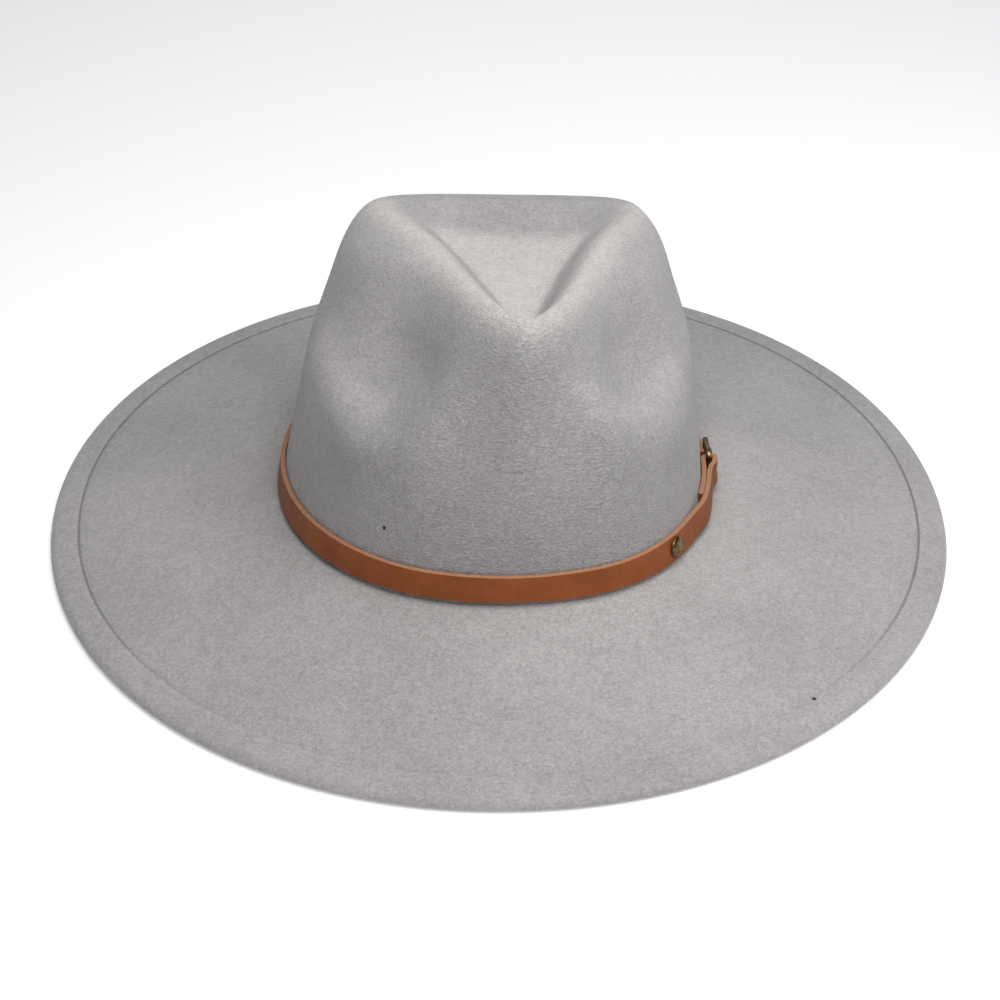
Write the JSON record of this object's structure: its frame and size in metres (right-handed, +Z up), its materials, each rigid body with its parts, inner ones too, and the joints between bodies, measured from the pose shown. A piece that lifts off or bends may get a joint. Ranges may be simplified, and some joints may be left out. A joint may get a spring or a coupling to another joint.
{
  "type": "fedora",
  "caption": "Wide-brim felt fedora with a pinched teardrop crown, a thin leather band with a small side buckle, and an open head hollow underneath.",
  "frame": {"origin": "middle of the bounding box of the brim, on the surface that the hat rests on", "axes": "+X towards the wearer's left, where the buckle is, +Y towards the back of the hat, +Z up; the front of the hat faces -Y"},
  "size_m": [0.3584, 0.3746, 0.1311],
  "materials": {
    "felt": "light grey wool felt, matt, with a fine fuzzy grain",
    "leather": "smooth tan leather, satin, with lighter cut edges",
    "antique_brass": "darkened antique brass, satin"
  },
  "bodies": {
    "root": {"felt_body": "felt", "band_strap": "leather", "buckle_frame": "antique_brass", "buckle_prong": "antique_brass", "band_rivet": "antique_brass"}
  },
  "joints": []
}
